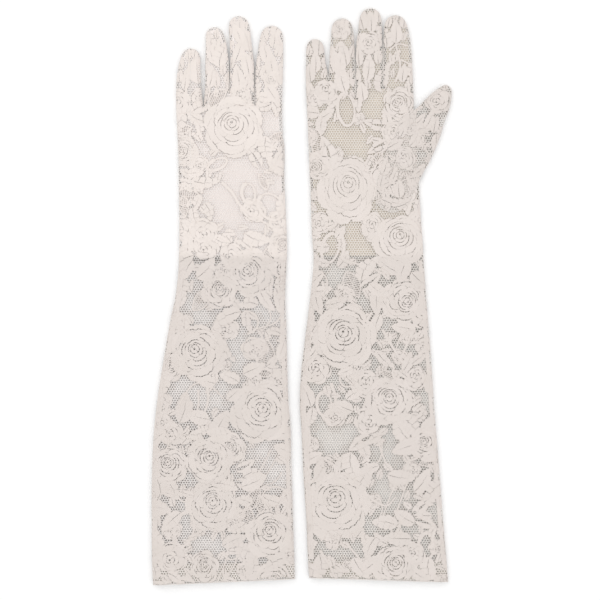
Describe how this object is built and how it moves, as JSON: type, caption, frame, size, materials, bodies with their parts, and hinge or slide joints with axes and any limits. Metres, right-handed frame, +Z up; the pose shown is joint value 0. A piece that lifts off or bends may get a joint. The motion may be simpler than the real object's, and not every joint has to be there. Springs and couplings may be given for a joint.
{
  "type": "lace wedding gloves",
  "caption": "Pair of opera-length floral lace gloves lying flat, one back up and one palm up, hands and fingers stiffened by card inserts.",
  "frame": {"origin": "centre of the pair on the surface it lies on, under the middle of its bounding box", "axes": "+Y from the mouths to the fingertips, +X from the left-hand glove to the right-hand glove, +Z up out of the surface"},
  "size_m": [0.2701, 0.5199, 0.0066],
  "materials": {
    "lace": "matt ivory-white nylon lace, rose motifs on a fine open net",
    "seam_lace": "matt ivory-white nylon lace, doubled and stitched",
    "left_card": "matt pinkish-white card",
    "right_card": "matt beige card"
  },
  "bodies": {
    "left_sleeve": {"left_hem_band": "seam_lace", "left_sleeve_back": "lace", "left_sleeve_inner_seam": "seam_lace", "left_sleeve_outer_seam": "seam_lace", "left_sleeve_palm": "lace"},
    "left_hand": {"left_card_hand": "left_card", "left_hand_back": "lace", "left_hand_inner_seam": "seam_lace", "left_hand_outer_seam": "seam_lace", "left_hand_palm": "lace"},
    "left_little": {"left_little_back": "lace", "left_little_card": "left_card", "left_little_fourchette": "seam_lace", "left_little_palm": "lace"},
    "left_ring": {"left_ring_back": "lace", "left_ring_card": "left_card", "left_ring_fourchette": "seam_lace", "left_ring_palm": "lace"},
    "left_middle": {"left_middle_back": "lace", "left_middle_card": "left_card", "left_middle_fourchette": "seam_lace", "left_middle_palm": "lace"},
    "left_index": {"left_index_back": "lace", "left_index_card": "left_card", "left_index_fourchette": "seam_lace", "left_index_palm": "lace"},
    "left_thumb": {"left_thumb_back": "lace", "left_thumb_palm": "lace", "left_thumb_seam": "seam_lace"},
    "right_sleeve": {"right_hem_band": "seam_lace", "right_sleeve_back": "lace", "right_sleeve_inner_seam": "seam_lace", "right_sleeve_outer_seam": "seam_lace", "right_sleeve_palm": "lace"},
    "right_hand": {"right_card_hand": "right_card", "right_hand_back": "lace", "right_hand_inner_seam": "seam_lace", "right_hand_outer_seam": "seam_lace", "right_hand_palm": "lace"},
    "right_little": {"right_little_back": "lace", "right_little_card": "right_card", "right_little_fourchette": "seam_lace", "right_little_palm": "lace"},
    "right_ring": {"right_ring_back": "lace", "right_ring_card": "right_card", "right_ring_fourchette": "seam_lace", "right_ring_palm": "lace"},
    "right_middle": {"right_middle_back": "lace", "right_middle_card": "right_card", "right_middle_fourchette": "seam_lace", "right_middle_palm": "lace"},
    "right_index": {"right_index_back": "lace", "right_index_card": "right_card", "right_index_fourchette": "seam_lace", "right_index_palm": "lace"},
    "right_thumb": {"right_thumb_back": "lace", "right_thumb_palm": "lace", "right_thumb_seam": "seam_lace"}
  },
  "joints": [
    {"name": "right_glove_lift", "type": "slide", "parent": "left_sleeve", "child": "right_sleeve", "axis": [0, 0, 1], "range_m": [0, 0.3]},
    {"name": "left_wrist_fold", "type": "hinge", "parent": "left_sleeve", "child": "left_hand", "pos_m": [-0.06225, 0.034, 0.00675], "axis": [1, 0, 0], "range_deg": [0, 70]},
    {"name": "left_little_bend", "type": "hinge", "parent": "left_hand", "child": "left_little", "pos_m": [-0.1015, 0.1705, 0.00675], "axis": [1, 0, 0], "range_deg": [0, 45]},
    {"name": "left_ring_bend", "type": "hinge", "parent": "left_hand", "child": "left_ring", "pos_m": [-0.0773, 0.1815, 0.00675], "axis": [1, 0, 0], "range_deg": [0, 45]},
    {"name": "left_middle_bend", "type": "hinge", "parent": "left_hand", "child": "left_middle", "pos_m": [-0.0538, 0.1815, 0.00675], "axis": [1, 0, 0], "range_deg": [0, 45]},
    {"name": "left_index_bend", "type": "hinge", "parent": "left_hand", "child": "left_index", "pos_m": [-0.0304, 0.1715, 0.00675], "axis": [1, 0, 0], "range_deg": [0, 45]},
    {"name": "right_wrist_fold", "type": "hinge", "parent": "right_sleeve", "child": "right_hand", "pos_m": [0.05985, 0.034, 0.00675], "axis": [1, 0, 0], "range_deg": [0, 80]},
    {"name": "right_little_bend", "type": "hinge", "parent": "right_hand", "child": "right_little", "pos_m": [0.013, 0.1945, 0.00675], "axis": [1, 0, 0], "range_deg": [0, 90]},
    {"name": "right_ring_bend", "type": "hinge", "parent": "right_hand", "child": "right_ring", "pos_m": [0.0354, 0.1945, 0.00675], "axis": [1, 0, 0], "range_deg": [0, 90]},
    {"name": "right_middle_bend", "type": "hinge", "parent": "right_hand", "child": "right_middle", "pos_m": [0.0606, 0.1855, 0.00675], "axis": [1, 0, 0], "range_deg": [0, 90]},
    {"name": "right_index_bend", "type": "hinge", "parent": "right_hand", "child": "right_index", "pos_m": [0.0864, 0.1855, 0.00675], "axis": [1, 0, 0], "range_deg": [0, 90]},
    {"name": "right_thumb_fold", "type": "hinge", "parent": "right_hand", "child": "right_thumb", "pos_m": [0.1051, 0.1045, 0.00675], "axis": [0.0602, -0.9982, 0], "range_deg": [0, 90]},
    {"name": "left_thumb_unfold", "type": "hinge", "parent": "left_hand", "child": "left_thumb", "pos_m": [-0.0168, 0.084, 0.00285], "axis": [0.0409, -0.9992, 0], "range_deg": [0, 90]}
  ]
}
